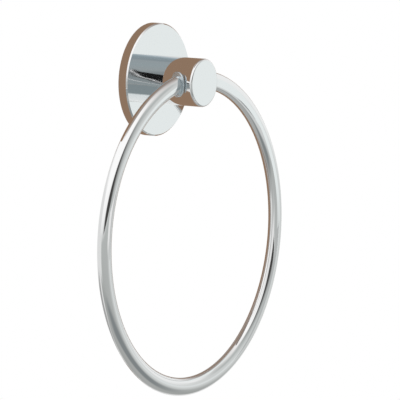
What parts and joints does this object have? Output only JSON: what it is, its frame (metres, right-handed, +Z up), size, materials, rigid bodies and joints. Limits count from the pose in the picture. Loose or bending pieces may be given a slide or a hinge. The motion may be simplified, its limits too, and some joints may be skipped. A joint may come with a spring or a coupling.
{
  "type": "towel ring",
  "caption": "Wall towel ring: an oval-bar ring swings in the sides of a short round post, on a thin round rose that hides a slotted wall bracket.",
  "frame": {"origin": "middle of the rose on the wall, on the post's axis", "axes": "+Z up, +Y into the wall, so the front faces -Y; +X to the viewer's right"},
  "size_m": [0.1588, 0.0317, 0.1809],
  "materials": {
    "polished_chrome": "mirror polished chrome plate",
    "plated_steel": "dull zinc plate",
    "screw_steel": "plain stainless steel"
  },
  "bodies": {
    "holder": {"rose": "polished_chrome", "post": "polished_chrome", "wall_bracket": "plated_steel", "grub_screw": "screw_steel"},
    "hanging_ring": {"ring": "polished_chrome"}
  },
  "joints": [
    {"name": "ring_swing", "type": "hinge", "parent": "holder", "child": "hanging_ring", "pos_m": [0, -0.0245, 0], "axis": [-1, 0, 0], "range_deg": [-8, 188]}
  ]
}
